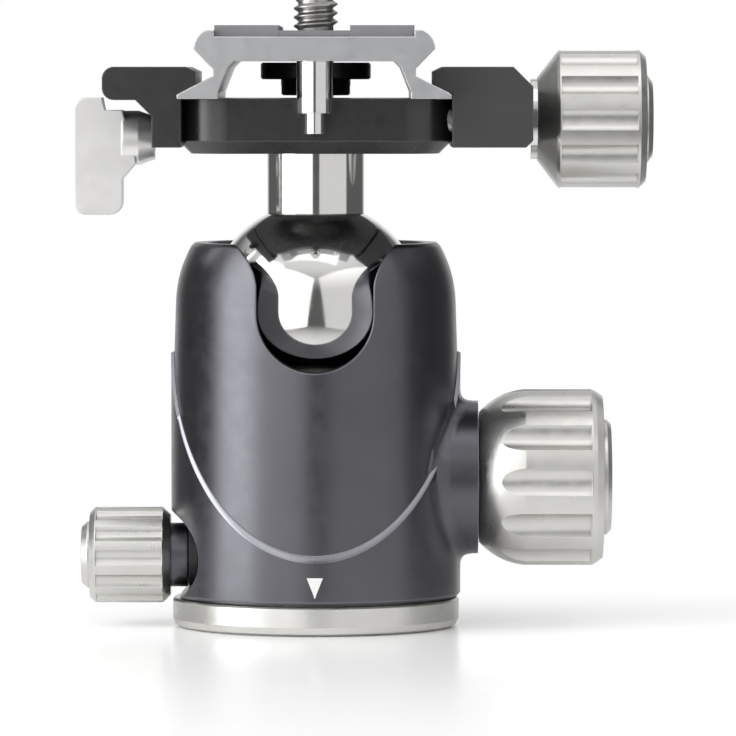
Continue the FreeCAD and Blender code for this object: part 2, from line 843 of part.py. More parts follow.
def make_pan_lock():
    """The brass shoe, its screw, and the small fluted knob with collar and cap."""
    turned(
        "pan_shoe",
        [
            ("0", "groove_bottom + shoe_gap"),
            ("groove_half", "spindle_radius + shoe_gap"),
            ("shoe_radius", "spindle_radius + shoe_gap"),
            ("shoe_radius", "shoe_outer"),
            ("0", "shoe_outer"),
        ],
        "-X",
        "pan_axis",
    )
    turned(
        "pan_lock_screw",
        [
            ("0", "shoe_outer"),
            ("pan_screw_radius", "shoe_outer"),
            ("pan_screw_radius", "pan_cap_floor"),
            ("0", "pan_cap_floor"),
        ],
        "-X",
        "pan_axis",
    )
    ring(
        "pan_knob_collar",
        "pan_screw_radius",
        "pan_collar_radius",
        "pan_knob_inner - pan_collar_length",
        "pan_knob_inner",
        "-X",
        "pan_axis",
    )
    knob = turned(
        "pan_knob",
        [
            ("pan_screw_radius", "pan_knob_inner"),
            ("pan_knob_radius - pan_knob_chamfer", "pan_knob_inner"),
            ("pan_knob_radius", "pan_knob_inner + pan_knob_chamfer"),
            ("pan_knob_radius", "pan_knob_end - pan_knob_end_edge"),
            ("pan_knob_radius - pan_knob_end_edge", "pan_knob_end"),
            ("pan_cap_radius + cap_gap", "pan_knob_end"),
            ("pan_cap_radius + cap_gap", "pan_cap_floor"),
            ("pan_screw_radius", "pan_cap_floor"),
        ],
        "-X",
        "pan_axis",
    )
    flute(
        knob,
        "pan_knob_radius",
        "pan_flute_radius",
        "pan_flute_depth",
        "pan_knob_inner + pan_knob_chamfer",
        "pan_knob_length - pan_knob_chamfer - pan_flute_stop",
    )
    cap("pan_knob_cap", "pan_cap_radius", "pan_cap_floor", "pan_knob_end", "pan_cap_proud", "-X", "pan_axis")


def cap(label, radius, low, face, proud, lies_along, height):
    """A pressed-in end cap with a bevelled edge."""
    turned(
        label,
        [
            ("0", low),
            (radius, low),
            (radius, f"{face} + ({proud}) * 0.3"),
            (f"({radius}) * 0.85", f"{face} + ({proud})"),
            ("0", f"{face} + ({proud})"),
        ],
        lies_along,
        height,
    )


def make_ball_and_stem():
    """The polished ball and the neck that stands on it."""
    turned(
        "ball",
        [
            ("0", "ball_height - ball_radius", "ball_radius", "ball_height"),
            ("0", "ball_height + ball_radius"),
        ],
    )
    base = "ball_height + sqrt(socket_radius ^ 2 - stem_radius ^ 2)"
    middle = "ball_height + sqrt(socket_radius ^ 2 - (stem_radius / 2) ^ 2)"
    bore = "bolt_radius + screw_fit"
    bore_end = "clamp_bottom - bolt_reach - bore_end_gap"
    turned(
        "stem",
        [
            ("0", "ball_height + socket_radius", "stem_radius / 2", middle),
            ("stem_radius", base),
            ("stem_radius", "clamp_bottom"),
            (bore, "clamp_bottom"),
            (bore, bore_end),
            ("0", bore_end),
        ],
    )


def make_clamp_base():
    """The clamp's block with its fixed jaw, bored for the bolt, screw, pins and catch."""
    body = new_body("clamp_base")
    half, depth, corner = "clamp_half_width", "clamp_half_depth", "clamp_corner"
    soft = f"clamp_corner * {QUARTER_ROUND}"
    plan = [
        (half, f"-{depth} + {corner}"),
        (half, f"{depth} - {corner}", f"{half} - {soft}", f"{depth} - {soft}"),
        (f"{half} - {corner}", depth),
        (f"-{half} + {corner}", depth, f"-{half} + {soft}", f"{depth} - {soft}"),
        (f"-{half}", f"{depth} - {corner}"),
        (f"-{half}", f"-{depth} + {corner}", f"-{half} + {soft}", f"-{depth} + {soft}"),
        (f"-{half} + {corner}", f"-{depth}"),
        (f"{half} - {corner}", f"-{depth}", f"{half} - {soft}", f"-{depth} + {soft}"),
    ]
    extrude(body, "Pad", "XY", "clamp_bottom", "clamp_height", outline=plan)
    bevel_underside(body, "clamp_bottom", "clamp_bevel")
    edge, reach = "fixed_jaw_edge", "fixed_jaw_reach"
    part_way = f"fixed_jaw_edge * {QUARTER_ROUND}"
    jaw = [
        (f"-{half} + jaw_overlap", "jaw_bottom"),
        (f"-{half} + jaw_overlap", "clamp_top"),
        ("-foot_half - dovetail_gap", "clamp_top"),
        ("-foot_half - dovetail_gap", "jaw_flank_low"),
        ("-jaw_tip", "jaw_flank_high"),
        ("-jaw_tip", "jaw_top - jaw_tip_edge"),
        ("-jaw_tip - jaw_tip_edge * 2", "jaw_top"),
        (f"-{reach} + {edge}", "jaw_top", f"-{reach} + {part_way}", f"jaw_top - {part_way}"),
        (f"-{reach}", f"jaw_top - {edge}"),
        (
            f"-{reach}",
            f"fixed_jaw_bottom + {edge}",
            f"-{reach} + {part_way}",
            f"fixed_jaw_bottom + {part_way}",
        ),
        (f"-{reach} + {edge}", "fixed_jaw_bottom"),
        ("-fixed_jaw_foot - fixed_jaw_gusset", "fixed_jaw_bottom"),
        ("-fixed_jaw_foot", "fixed_jaw_bottom - fixed_jaw_gusset"),
        ("-fixed_jaw_foot", "jaw_bottom"),
    ]
    extrude(body, "Pad", "XZ", "0", "clamp_half_depth * 2", outline=jaw, Midplane=True)
    head = [("0", "0", "bolt_head_radius + bolt_head_gap")]
    extrude(body, "Pocket", "XY", "clamp_top", "clamp_top - bolt_seat", circles=head)
    shank = [("0", "0", "bolt_radius + screw_fit")]
    extrude(body, "Pocket", "XY", "bolt_seat", "bolt_grip", circles=shank)
    screw = [("0", "clamp_axis", "clamp_screw_radius + screw_fit")]
    extrude(body, "Pocket", "YZ", half, "clamp_screw_depth + 1", circles=screw)
    pins = [
        ("-guide_pin_spacing / 2", "clamp_axis", "guide_pin_radius"),
        ("guide_pin_spacing / 2", "clamp_axis", "guide_pin_radius"),
    ]
    extrude(body, "Pocket", "YZ", half, "guide_pin_depth", circles=pins)
    pivot = [("0", "lever_axis", "pivot_radius + screw_fit")]
    depth = "pivot_depth + bolt_head_gap"
    extrude(body, "Pocket", "YZ", "-fixed_jaw_foot", depth, circles=pivot, Reversed=True)
    catch = [("-catch_offset", "0", "catch_radius + screw_fit")]
    extrude(body, "Pocket", "XY", "clamp_top", "catch_length + 0.2", circles=catch)
    return body


def bevel_underside(body, level, size):
    """Bevel every edge of the body that lies at a level."""
    tip = body.Tip
    height = worth(level)
    low = []
    for number, edge in enumerate(tip.Shape.Edges, start=1):
        if all(abs(mark.z - height) < 1e-6 for mark in edge.discretize(3)):
            low.append(f"Edge{number}")
    bevel = body.newObject("PartDesign::Chamfer", "Bevel")
    bevel.Base = (tip, low)
    bevel.setExpression("Size", bound(size))
    doc.recompute()


def make_clamp_jaw():
    """The moving jaw, bored for the clamp screw and its two guide pins."""
    body = new_body("clamp_jaw")
    reach = "moving_jaw_reach"
    outline = [
        ("clamp_half_width", "jaw_bottom"),
        (f"{reach} - 1", "jaw_bottom"),
        (reach, "jaw_bottom + 1"),
        (reach, "jaw_top - moving_jaw_slope"),
        (f"{reach} - moving_jaw_slope", "jaw_top"),
        ("jaw_tip + jaw_tip_edge * 2", "jaw_top"),
        ("jaw_tip", "jaw_top - jaw_tip_edge"),
        ("jaw_tip", "jaw_flank_high"),
        ("foot_half + dovetail_gap", "jaw_flank_low"),
        ("clamp_half_width", "jaw_flank_low"),
    ]
    extrude(body, "Pad", "XZ", "0", "clamp_half_depth * 2", outline=outline, Midplane=True)
    screw = [("0", "clamp_axis", "clamp_screw_radius + screw_fit * 2")]
    extrude(body, "Pocket", "YZ", reach, f"{reach}", circles=screw)
    fit = "guide_pin_radius + screw_fit"
    pins = [
        ("-guide_pin_spacing / 2", "clamp_axis", fit),
        ("guide_pin_spacing / 2", "clamp_axis", fit),
    ]
    extrude(body, "Pocket", "YZ", "clamp_half_width", "guide_pin_reach + 0.6", circles=pins, Reversed=True)
    return body


def make_clamp_hardware():
    """The bolt into the stem, guide pins, clamp screw, washer, knob and cap."""
    turned(
        "stem_bolt",
        [
            ("0", "clamp_bottom - bolt_reach"),
            ("bolt_radius", "clamp_bottom - bolt_reach"),
            ("bolt_radius", "bolt_seat"),
            ("bolt_head_radius", "bolt_seat"),
            ("bolt_head_radius", "bolt_seat + bolt_head_height"),
            ("hex_radius", "bolt_seat + bolt_head_height"),
            ("hex_radius", "bolt_seat + bolt_head_height - hex_depth"),
            ("0", "bolt_seat + bolt_head_height - hex_depth"),
        ],
    )
    pins = []
    for name, side in (("front", "-"), ("rear", "")):
        pin = doc.addObject("Part::Cylinder", f"guide_pin_{name}")
        pin.Placement = FreeCAD.Placement(V(0, 0, 0), FreeCAD.Rotation(V(0, 1, 0), 90))
        pin.setExpression("Radius", bound("guide_pin_radius"))
        pin.setExpression("Height", bound("guide_pin_depth + guide_pin_reach"))
        pin.setExpression("Placement.Base.x", bound("clamp_half_width - guide_pin_depth"))
        pin.setExpression("Placement.Base.y", bound(f"{side}guide_pin_spacing / 2"))
        pin.setExpression("Placement.Base.z", bound("clamp_axis"))
        pins.append(pin)
    group("guide_pins", pins)
    turned(
        "clamp_screw",
        [
            ("0", "clamp_screw_end"),
            ("clamp_screw_radius", "clamp_screw_end"),
            ("clamp_screw_radius", "clamp_cap_floor"),
            ("0", "clamp_cap_floor"),
        ],
        "+X",
        "clamp_axis",
    )
    ring(
        "clamp_knob_washer",
        "clamp_screw_radius",
        "clamp_washer_radius",
        "moving_jaw_reach",
        "washer_outer",
        "+X",
        "clamp_axis",
    )
    knob = turned(
        "clamp_knob",
        [
            ("clamp_screw_radius", "washer_outer"),
            ("clamp_knob_neck", "washer_outer"),
            ("clamp_knob_radius - clamp_knob_break", "washer_outer + clamp_knob_cone"),
            ("clamp_knob_radius", "washer_outer + clamp_knob_cone + clamp_knob_break"),
            ("clamp_knob_radius", "clamp_knob_end - clamp_knob_end_edge"),
            ("clamp_knob_radius - clamp_knob_end_edge", "clamp_knob_end"),
            ("clamp_cap_radius + cap_gap", "clamp_knob_end"),
            ("clamp_cap_radius + cap_gap", "clamp_cap_floor"),
            ("clamp_screw_radius", "clamp_cap_floor"),
        ],
        "+X",
        "clamp_axis",
    )
    flute(
        knob,
        "clamp_knob_radius",
        "clamp_flute_radius",
        "clamp_flute_depth",
        "washer_outer + clamp_knob_cone + clamp_flute_start",
        "clamp_knob_length - clamp_knob_cone - clamp_flute_start - clamp_flute_stop",
    )
    cap(
        "clamp_knob_cap",
        "clamp_cap_radius",
        "clamp_cap_floor",
        "clamp_knob_end",
        "clamp_cap_proud",
        "+X",
        "clamp_axis",
    )


def make_safety_catch():
    """The lever beside the clamp, its pivot, and the pin that catches the plate."""
    body = turned(
        "safety_lever",
        [
            ("0", "lever_inner"),
            ("lever_hub_radius - lever_hub_taper", "lever_inner"),
            ("lever_hub_radius", "lever_inner + lever_hub_length / 2"),
            ("lever_hub_radius", "lever_arm_inner"),
            ("0", "lever_arm_inner"),
        ],
        "-X",
        "lever_axis",
    )
    # In the body's own axes X runs up and Z runs outwards.
    inner = "lever_arm_inner"
    outer = "lever_arm_inner + lever_arm_width"
    corner = "lever_corner"
    soft = f"lever_corner * {QUARTER_ROUND}"
    arm = [
        ("lever_top", inner),
        ("lever_top", "lever_shelf"),
        ("lever_crown", "lever_shelf + lever_shelf_gap * 2"),
        ("lever_crown", f"{outer} - {corner}", f"lever_crown - {soft}", f"{outer} - {soft}"),
        (f"lever_crown - {corner}", outer),
        (f"-lever_drop + {corner}", outer, f"-lever_drop + {soft}", f"{outer} - {soft}"),
        ("-lever_drop", f"{outer} - {corner}"),
        ("-lever_drop", f"{inner} + {corner}", f"-lever_drop + {soft}", f"{inner} + {soft}"),
        (f"-lever_drop + {corner}", inner),
        ("-lever_hub_radius - lever_web", inner),
        ("-lever_hub_radius + lever_web_sink", f"{inner} - lever_web"),
    ]
    extrude(body, "Pad", "XZ", "0", "lever_arm_half * 2", outline=arm, Midplane=True)
    bore = [
        ("0", "lever_inner"),
        ("pivot_radius", "lever_inner"),
        ("pivot_radius", "lever_arm_inner"),
        ("0", "lever_arm_inner"),
    ]
    turn(body, bore, "Groove")
    turned(
        "lever_pivot",
        [
            ("0", "fixed_jaw_foot - pivot_depth"),
            ("pivot_radius", "fixed_jaw_foot - pivot_depth"),
            ("pivot_radius", "lever_arm_inner"),
            ("0", "lever_arm_inner"),
        ],
        "-X",
        "lever_axis",
    )
    rod("catch_pin", "catch_radius", "catch_top - catch_length", "catch_top", "-catch_offset")


def make_plate():
    """The quick-release plate: dovetail feet, hollow underside and a flat deck."""
    body = new_body("quick_release_plate")

    shoulder = "clamp_top + deck_edge_rise"

    def side(sign):
        rows = [
            (f"{sign}foot_half", "clamp_top + foot_edge"),
            (f"{sign}waist_half", "clamp_top + waist_rise"),
            (f"{sign}waist_half", "clamp_top + waist_rise + 1"),
            (f"{sign}deck_half", shoulder),
            (f"{sign}lip_half", "deck_top + lip_rise"),
            (f"{sign}pad_outer", "deck_top + lip_rise"),
            (f"{sign}pad_outer", "deck_top"),
        ]
        bulge = (
            f"{sign}((deck_half + lip_half) / 2 + lip_bulge)",
            f"({shoulder} + deck_top + lip_rise) / 2 + lip_bulge",
        )
        arc_start = 3 if sign == "-" else 4
        rows[arc_start] = (*rows[arc_start], *bulge)
        return rows

    inner = [
        ("leg_foot_inner", "clamp_top"),
        ("leg_foot_inner", "clamp_top + leg_foot_height"),
        ("leg_top_inner", "deck_bottom - leg_top_edge"),
        ("leg_top_inner - leg_top_edge", "deck_bottom"),
        ("-(leg_top_inner - leg_top_edge)", "deck_bottom"),
        ("-leg_top_inner", "deck_bottom - leg_top_edge"),
        ("-leg_foot_inner", "clamp_top + leg_foot_height"),
        ("-leg_foot_inner", "clamp_top"),
    ]
    left = [("-foot_half", "clamp_top"), *side("-")]
    right = [*reversed(side("")), ("foot_half", "clamp_top")]
    extrude(
        body, "Pad", "XZ", "0", "plate_half_length * 2", outline=left + right + inner, Midplane=True
    )
    hole = [("0", "0", "camera_thread_radius + camera_hole_gap")]
    extrude(body, "Pocket", "XY", "deck_top", "deck_thickness", circles=hole)
    recess = [("0", "0", "clip_radius + camera_hole_gap")]
    extrude(body, "Pocket", "XY", "deck_top", "clip_thickness + clip_gap", circles=recess)
    half = "catch_radius + catch_slot_gap"
    slot = [
        (f"-catch_offset - ({half})", "-catch_slot_half_length"),
        (f"-catch_offset + {half}", "-catch_slot_half_length"),
        (f"-catch_offset + {half}", "catch_slot_half_length"),
        (f"-catch_offset - ({half})", "catch_slot_half_length"),
    ]
    extrude(body, "Pocket", "XY", "clamp_top", "catch_slot_depth", outline=slot, Reversed=True)
    for sign in ("", "-"):
        groove = pad_outline(sign)
        extrude(body, "Pocket", "XY", "deck_top", "pad_inset", outline=groove)
    return body


def pad_outline(sign):
    """The plan of one rubber pad, on the side that the sign names."""
    end = "plate_half_length - pad_end"
    return [
        (f"{sign}pad_inner", f"-({end})"),
        (f"{sign}pad_outer", f"-({end})"),
        (f"{sign}pad_outer", end),
        (f"{sign}pad_inner", end),
    ]


def make_plate_hardware():
    """The rubber pads, the two stop screws, the camera screw and its clip."""
    pads = []
    for name, sign in (("right", ""), ("left", "-")):
        pad = doc.addObject("Part::Box", f"pad_{name}")
        pad.setExpression("Length", bound("pad_outer - pad_inner"))
        pad.setExpression("Width", bound("(plate_half_length - pad_end) * 2"))
        pad.setExpression("Height", bound("pad_height + pad_inset"))
        x = "pad_inner" if sign == "" else "-pad_outer"
        pad.setExpression("Placement.Base.x", bound(x))
        pad.setExpression("Placement.Base.y", bound("-(plate_half_length - pad_end)"))
        pad.setExpression("Placement.Base.z", bound("deck_top - pad_inset"))
        pads.append(pad)
    group("plate_pads", pads)
    screws = []
    for name, sign in (("front", "-"), ("rear", "")):
        y = f"{sign}(plate_half_length - stop_inset)"
        low = "deck_bottom - stop_length"
        barrel = rod(f"stop_barrel_{name}", "stop_radius", low, "deck_bottom", "0", y)
        tip = rod(f"stop_tip_{name}", "stop_tip_radius", f"{low} - stop_tip_length", low, "0", y)
        screws.append(joined(f"stop_screw_{name}", [barrel, tip]))
    group("stop_screws", screws)
    screw = turned(
        "camera_screw",
        [
            ("0", "camera_head_bottom"),
            ("camera_boss_radius", "camera_head_bottom"),
            ("camera_boss_radius", "camera_flange_bottom"),
            ("camera_flange_radius", "camera_flange_bottom"),
            ("camera_flange_radius", "camera_flange_top"),
            ("camera_neck_radius", "camera_flange_top"),
            ("camera_neck_radius", "deck_top + camera_neck_relief"),
            ("camera_thread_radius", "deck_top + camera_neck_relief"),
            ("camera_thread_radius", "camera_tip - camera_tip_edge"),
            ("camera_thread_radius - camera_tip_edge", "camera_tip"),
            ("0", "camera_tip"),
        ],
    )
    half = "camera_slot_width / 2"
    slot = [
        ("-camera_boss_radius - 1", f"-{half}"),
        ("camera_boss_radius + 1", f"-{half}"),
        ("camera_boss_radius + 1", half),
        ("-camera_boss_radius - 1", half),
    ]
    extrude(
        screw, "Pocket", "XY", "camera_head_bottom", "camera_slot_depth", outline=slot, Reversed=True
    )
    ring(
        "camera_screw_clip",
        "camera_neck_radius",
        "clip_radius",
        "deck_top - clip_thickness",
        "deck_top",
    )


NODES = [
    "base_plate", "thread_insert", "pan_thrust_washer", "pan_retainer", "retainer_screws",
    "casing", "casing_floor", "wedge_guide", "seat_ring", "wedge", "ball_cup", "cup_liner",
    "main_screw", "main_knob", "friction_dial", "friction_screw",
    "pan_shoe", "pan_lock_screw", "pan_knob_collar", "pan_knob", "pan_knob_cap",
    "ball", "stem", "stem_bolt", "clamp_base", "guide_pins", "clamp_jaw",
    "clamp_screw", "clamp_knob_washer", "clamp_knob", "clamp_knob_cap",
    "safety_lever", "lever_pivot", "catch_pin",
    "quick_release_plate", "plate_pads", "stop_screws", "camera_screw", "camera_screw_clip",
]


def check_and_write():
    """Stop on any failed object or shape, then write one file for each node."""
    doc.recompute()
    for item in doc.Objects:
        if {"Invalid", "Error"} & set(item.State):
            raise ValueError(f"{item.Name} failed: {item.State}")
    for label in NODES:
        shape = doc.getObject(label).Shape
        if shape.isNull() or not shape.isValid() or shape.Volume <= 0:
            raise ValueError(f"{label} has no valid solid")
    os.makedirs("parts", exist_ok=True)
    for label in NODES:
        doc.getObject(label).Shape.exportStep(f"parts/{label}.step")
    print("wrote", len(NODES), "nodes")


make_base_plate()
ring("thread_insert", "thread_radius", "insert_radius", "0", "insert_length")
ring("pan_thrust_washer", "thrust_inner", "thrust_outer", "base_height - thrust_recess", "casing_bottom")
make_retainer()
make_casing()
make_floor()
make_guide()
make_seat()
make_wedge()
make_cup()
make_main_lock()
make_pan_lock()
make_ball_and_stem()
make_clamp_base()
make_clamp_jaw()
make_clamp_hardware()
make_safety_catch()
make_plate()
make_plate_hardware()
check_and_write()
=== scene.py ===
import json
import math

import bmesh
import bpy
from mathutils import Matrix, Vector
from mathutils.bvhtree import BVHTree


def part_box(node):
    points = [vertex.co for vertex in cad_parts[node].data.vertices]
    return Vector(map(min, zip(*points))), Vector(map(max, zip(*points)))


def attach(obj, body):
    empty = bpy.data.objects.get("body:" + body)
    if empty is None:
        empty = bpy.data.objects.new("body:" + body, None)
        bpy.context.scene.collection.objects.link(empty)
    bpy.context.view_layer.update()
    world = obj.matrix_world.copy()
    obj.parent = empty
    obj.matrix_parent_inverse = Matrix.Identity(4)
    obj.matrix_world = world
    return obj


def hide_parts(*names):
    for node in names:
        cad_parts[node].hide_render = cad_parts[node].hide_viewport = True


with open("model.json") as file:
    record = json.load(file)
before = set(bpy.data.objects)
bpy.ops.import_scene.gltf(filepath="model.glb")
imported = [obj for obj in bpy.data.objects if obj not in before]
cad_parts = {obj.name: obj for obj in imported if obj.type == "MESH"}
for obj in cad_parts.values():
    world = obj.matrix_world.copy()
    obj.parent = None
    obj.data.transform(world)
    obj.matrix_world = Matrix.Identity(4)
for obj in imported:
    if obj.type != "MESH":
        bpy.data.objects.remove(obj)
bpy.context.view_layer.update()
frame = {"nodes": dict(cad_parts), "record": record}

MM = 0.001
FULL_TURN = 2 * math.pi


def millimetres(*numbers):
    """A point of the object, given in millimetres, in the scene's metres."""
    return Vector(numbers) * MM


def middle(name):
    """The middle of a CAD node's box."""
    low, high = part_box(name)
    return (low + high) / 2


# Axes that the turned and fluted pieces lie round
CASING_AXIS = Vector((0.0, 0.0, 0.0))
MAIN_AXIS = middle("main_screw")
PAN_AXIS = middle("pan_lock_screw")
CLAMP_AXIS = middle("clamp_screw")


# The view: the photograph's own place, distance and framing

CAMERA_DISTANCE = 930.0
CAMERA_HEIGHT = 80.0
AIM_ACROSS = 7.5
AIM_HEIGHT = 37.1
FRAME_WIDTH = 105.9
SENSOR_WIDTH = 36.0


def place_camera():
    """A long lens in front of the head, a little above it and looking slightly down."""
    data = bpy.data.cameras.new("front_camera")
    camera = bpy.data.objects.new("front_camera", data)
    bpy.context.scene.collection.objects.link(camera)
    camera.location = millimetres(AIM_ACROSS, -CAMERA_DISTANCE, CAMERA_HEIGHT)
    look = millimetres(AIM_ACROSS, 0, AIM_HEIGHT) - camera.location
    camera.rotation_mode = "QUATERNION"
    camera.rotation_quaternion = look.to_track_quat("-Z", "Y")
    data.sensor_width = SENSOR_WIDTH
    data.lens = SENSOR_WIDTH * look.length / (FRAME_WIDTH * MM)
    data.clip_start = 0.01
    data.clip_end = 50.0
    bpy.context.scene.camera = camera


# Nodes of the materials

def add(tree, kind, settings=None, inputs=None):
    """Adds one node, gives it its settings, and sets or links its inputs."""
    node = tree.nodes.new("ShaderNode" + kind)
    for name, value in (settings or {}).items():
        setattr(node, name, value)
    for name, value in (inputs or {}).items():
        if isinstance(value, bpy.types.NodeSocket):
            tree.links.new(value, node.inputs[name])
        else:
            node.inputs[name].default_value = value
    return node


def colour(hex_code):
    """A linear colour from its sRGB hex value."""
    parts = [int(hex_code[i:i + 2], 16) / 255 for i in (1, 3, 5)]
    linear = [c / 12.92 if c <= 0.04045 else ((c + 0.055) / 1.055) ** 2.4 for c in parts]
    return (*linear, 1.0)


def per_metre(size_mm):
    """The scale of a noise whose grains are that many millimetres wide."""
    return 1 / (size_mm * MM)


def ring_scale(spacing_mm):
    """The scale of a wave texture whose rings lie that many millimetres apart."""
    return FULL_TURN / (20 * spacing_mm * MM)


def new_material(name):
    """An empty material, its tree, and the place of each point on the piece at rest."""
    material = bpy.data.materials.new(name)
    material.use_nodes = True
    tree = material.node_tree
    tree.nodes.clear()
    place = add(tree, "TexCoord").outputs["Object"]
    return material, tree, place


def grain(tree, place, size_mm, detail=3.0):
    """An uneven pattern with grains of that size, from 0 to 1."""
    return add(tree, "TexNoise", {}, {
        "Vector": place, "Scale": per_metre(size_mm), "Detail": detail, "Roughness": 0.55,
    }).outputs["Fac"]


def between(tree, amount, low, high):
    """A number that goes from low to high with an uneven pattern."""
    return add(tree, "MapRange", {}, {
        "Value": amount, "From Min": 0.3, "From Max": 0.7, "To Min": low, "To Max": high,
    }).outputs["Result"]


def blend_colours(tree, amount, first, second):
    """A colour between two others."""
    node = add(tree, "Mix", {"data_type": "RGBA"}, {0: amount, 6: first, 7: second})
    return node.outputs[2]


def rounded(tree, radius_mm):
    """The surface's direction with each edge broken by a small radius."""
    return add(tree, "Bevel", {"samples": 4}, {"Radius": radius_mm * MM}).outputs["Normal"]


def worn_edge(tree, soft, low=0.01, high=0.12):
    """1 along the rubbed edges and 0 on the open faces, from how far the edge is rounded."""
    flat = add(tree, "NewGeometry").outputs["Normal"]
    match = add(tree, "VectorMath", {"operation": "DOT_PRODUCT"}, {0: flat, 1: soft})
    away = add(tree, "Math", {"operation": "SUBTRACT"}, {0: 1.0, 1: match.outputs["Value"]})
    return add(tree, "MapRange", {"interpolation_type": "SMOOTHSTEP"}, {
        "Value": away.outputs[0], "From Min": low, "From Max": high,
    }).outputs["Result"]


def raised(tree, height, depth_mm, normal):
    """The surface's direction with a fine relief of that depth."""
    return add(tree, "Bump", {}, {
        "Height": height, "Distance": depth_mm * MM, "Strength": 1.0, "Normal": normal,
    }).outputs["Normal"]


def turning_marks(tree, place, centre, direction, spacing_mm):
    """The lathe's grooves: rings round the axis on end faces, and turns along it on the sides."""
    local = add(tree, "VectorMath", {"operation": "SUBTRACT"}, {0: place, 1: centre}).outputs[0]
    scale = ring_scale(spacing_mm)
    across = add(tree, "TexWave", {"wave_type": "RINGS", "rings_direction": direction}, {
        "Vector": local, "Scale": scale, "Distortion": 0.0,
    }).outputs["Fac"]
    along = add(tree, "TexWave", {"wave_type": "BANDS", "bands_direction": direction}, {
        "Vector": local, "Scale": scale, "Distortion": 0.0,
    }).outputs["Fac"]
    return add(tree, "Math", {"operation": "ADD"}, {0: across, 1: along}).outputs[0]


def shade(material, tree, **settings):
    """Ends a material in one shader with the sockets named in settings."""
    inputs = {name.replace("_", " "): value for name, value in settings.items()}
    shader = add(tree, "BsdfPrincipled", {}, inputs)
    add(tree, "OutputMaterial", {}, {"Surface": shader.outputs[0]})
    return material


# Finishes of the head

def grey_anodised_aluminium(name, edge_mm):
    """Blasted, dyed and sealed: a soft metallic sheen, and edges rubbed a little paler."""
    material, tree, place = new_material(name)
    soft = rounded(tree, edge_mm)
    dye = blend_colours(tree, grain(tree, place, 9.0), colour("#56565b"), colour("#616166"))
    rubbed = add(tree, "Math", {"operation": "MULTIPLY"}, {0: worn_edge(tree, soft), 1: 0.5})
    # The blasted grain is about 0.08 mm and is drawn at 0.3 mm, so that it shows.
    blasted = grain(tree, place, 0.3)
    return shade(
        material, tree,
        Base_Color=blend_colours(tree, rubbed.outputs[0], dye, colour("#a2a2a8")),
        Metallic=1.0,
        Roughness=between(tree, grain(tree, place, 2.5), 0.28, 0.35),
        Normal=raised(tree, blasted, 0.004, soft),
    )


def black_anodised_aluminium(name, first, second, low, high):
    """Dyed black through its hard oxide: a satin gleam over black, paler where it is rubbed."""
    material, tree, place = new_material(name)
    soft = rounded(tree, 0.3)
    dye = blend_colours(tree, grain(tree, place, 7.0), colour(first), colour(second))
    rubbed = add(tree, "Math", {"operation": "MULTIPLY"}, {0: worn_edge(tree, soft), 1: 0.35})
    blasted = grain(tree, place, 0.3)
    return shade(
        material, tree,
        Base_Color=blend_colours(tree, rubbed.outputs[0], dye, colour("#6d6d70")),
        IOR=1.6,
        Roughness=between(tree, grain(tree, place, 2.0), low, high),
        Normal=raised(tree, blasted, 0.004, soft),
    )


def turned_silver(name, centre, direction):
    """Turned and satin anodised aluminium: fine lathe rings that spread the light along them."""
    material, tree, place = new_material(name)
    soft = rounded(tree, 0.12)
    bare = blend_colours(tree, grain(tree, place, 5.0), colour("#c3c2be"), colour("#cfcecb"))
    # The feed of the lathe is about 0.1 mm and is drawn at 0.4 mm, so that it shows.
    rings = turning_marks(tree, place, centre, direction, 0.4)
    return shade(
        material, tree,
        Base_Color=blend_colours(tree, worn_edge(tree, soft, 0.05, 0.25), bare, colour("#e2e1de")),
        Metallic=1.0,
        Roughness=between(tree, grain(tree, place, 1.5), 0.27, 0.36),
        Normal=raised(tree, rings, 0.0015, soft),
    )


def blasted_silver(name, first, second):
    """Milled, blasted and clear anodised aluminium: even, pale and without rings."""
    material, tree, place = new_material(name)
    soft = rounded(tree, 0.3)
    bare = blend_colours(tree, grain(tree, place, 6.0), colour(first), colour(second))
    blasted = grain(tree, place, 0.3)
    return shade(
        material, tree,
        Base_Color=blend_colours(tree, worn_edge(tree, soft, 0.05, 0.25), bare, colour("#e6e5e3")),
        Metallic=1.0,
        Roughness=between(tree, grain(tree, place, 2.0), 0.34, 0.43),
        Normal=raised(tree, blasted, 0.003, soft),
    )


def polished_steel():
    """Ground and polished stainless steel: a mirror with faint wiping marks."""
    material, tree, place = new_material("polished_steel")
    soft = rounded(tree, 0.15)
    wiped = grain(tree, place, 3.0, 5.0)
    tint = blend_colours(tree, grain(tree, place, 8.0), colour("#cfcecc"), colour("#d8d7d5"))
    return shade(
        material, tree,
        Base_Color=tint,
        Metallic=1.0,
        Roughness=between(tree, wiped, 0.05, 0.12),
        Normal=raised(tree, wiped, 0.0004, soft),
    )


def machined_steel():
    """Bare machined steel: greyer than the aluminium, with fine tool marks."""
    material, tree, place = new_material("machined_steel")
    soft = rounded(tree, 0.15)
    tint = blend_colours(tree, grain(tree, place, 2.5), colour("#9b9a98"), colour("#adacaa"))
    marks = grain(tree, place, 0.35)
    return shade(
        material, tree,
        Base_Color=tint,
        Metallic=1.0,
        Roughness=between(tree, marks, 0.26, 0.38),
        Normal=raised(tree, marks, 0.002, soft),
    )


def blackened_steel():
    """Steel with a black oxide: almost black, with an oily gleam."""
    material, tree, place = new_material("blackened_steel")
    soft = rounded(tree, 0.15)
    oxide = blend_colours(tree, grain(tree, place, 2.0), colour("#232324"), colour("#303031"))
    rubbed = add(tree, "Math", {"operation": "MULTIPLY"}, {0: worn_edge(tree, soft), 1: 0.4})
    marks = grain(tree, place, 0.3)
    return shade(
        material, tree,
        Base_Color=blend_colours(tree, rubbed.outputs[0], oxide, colour("#78787a")),
        Metallic=0.6,
        Roughness=between(tree, marks, 0.28, 0.42),
        Normal=raised(tree, marks, 0.002, soft),
    )


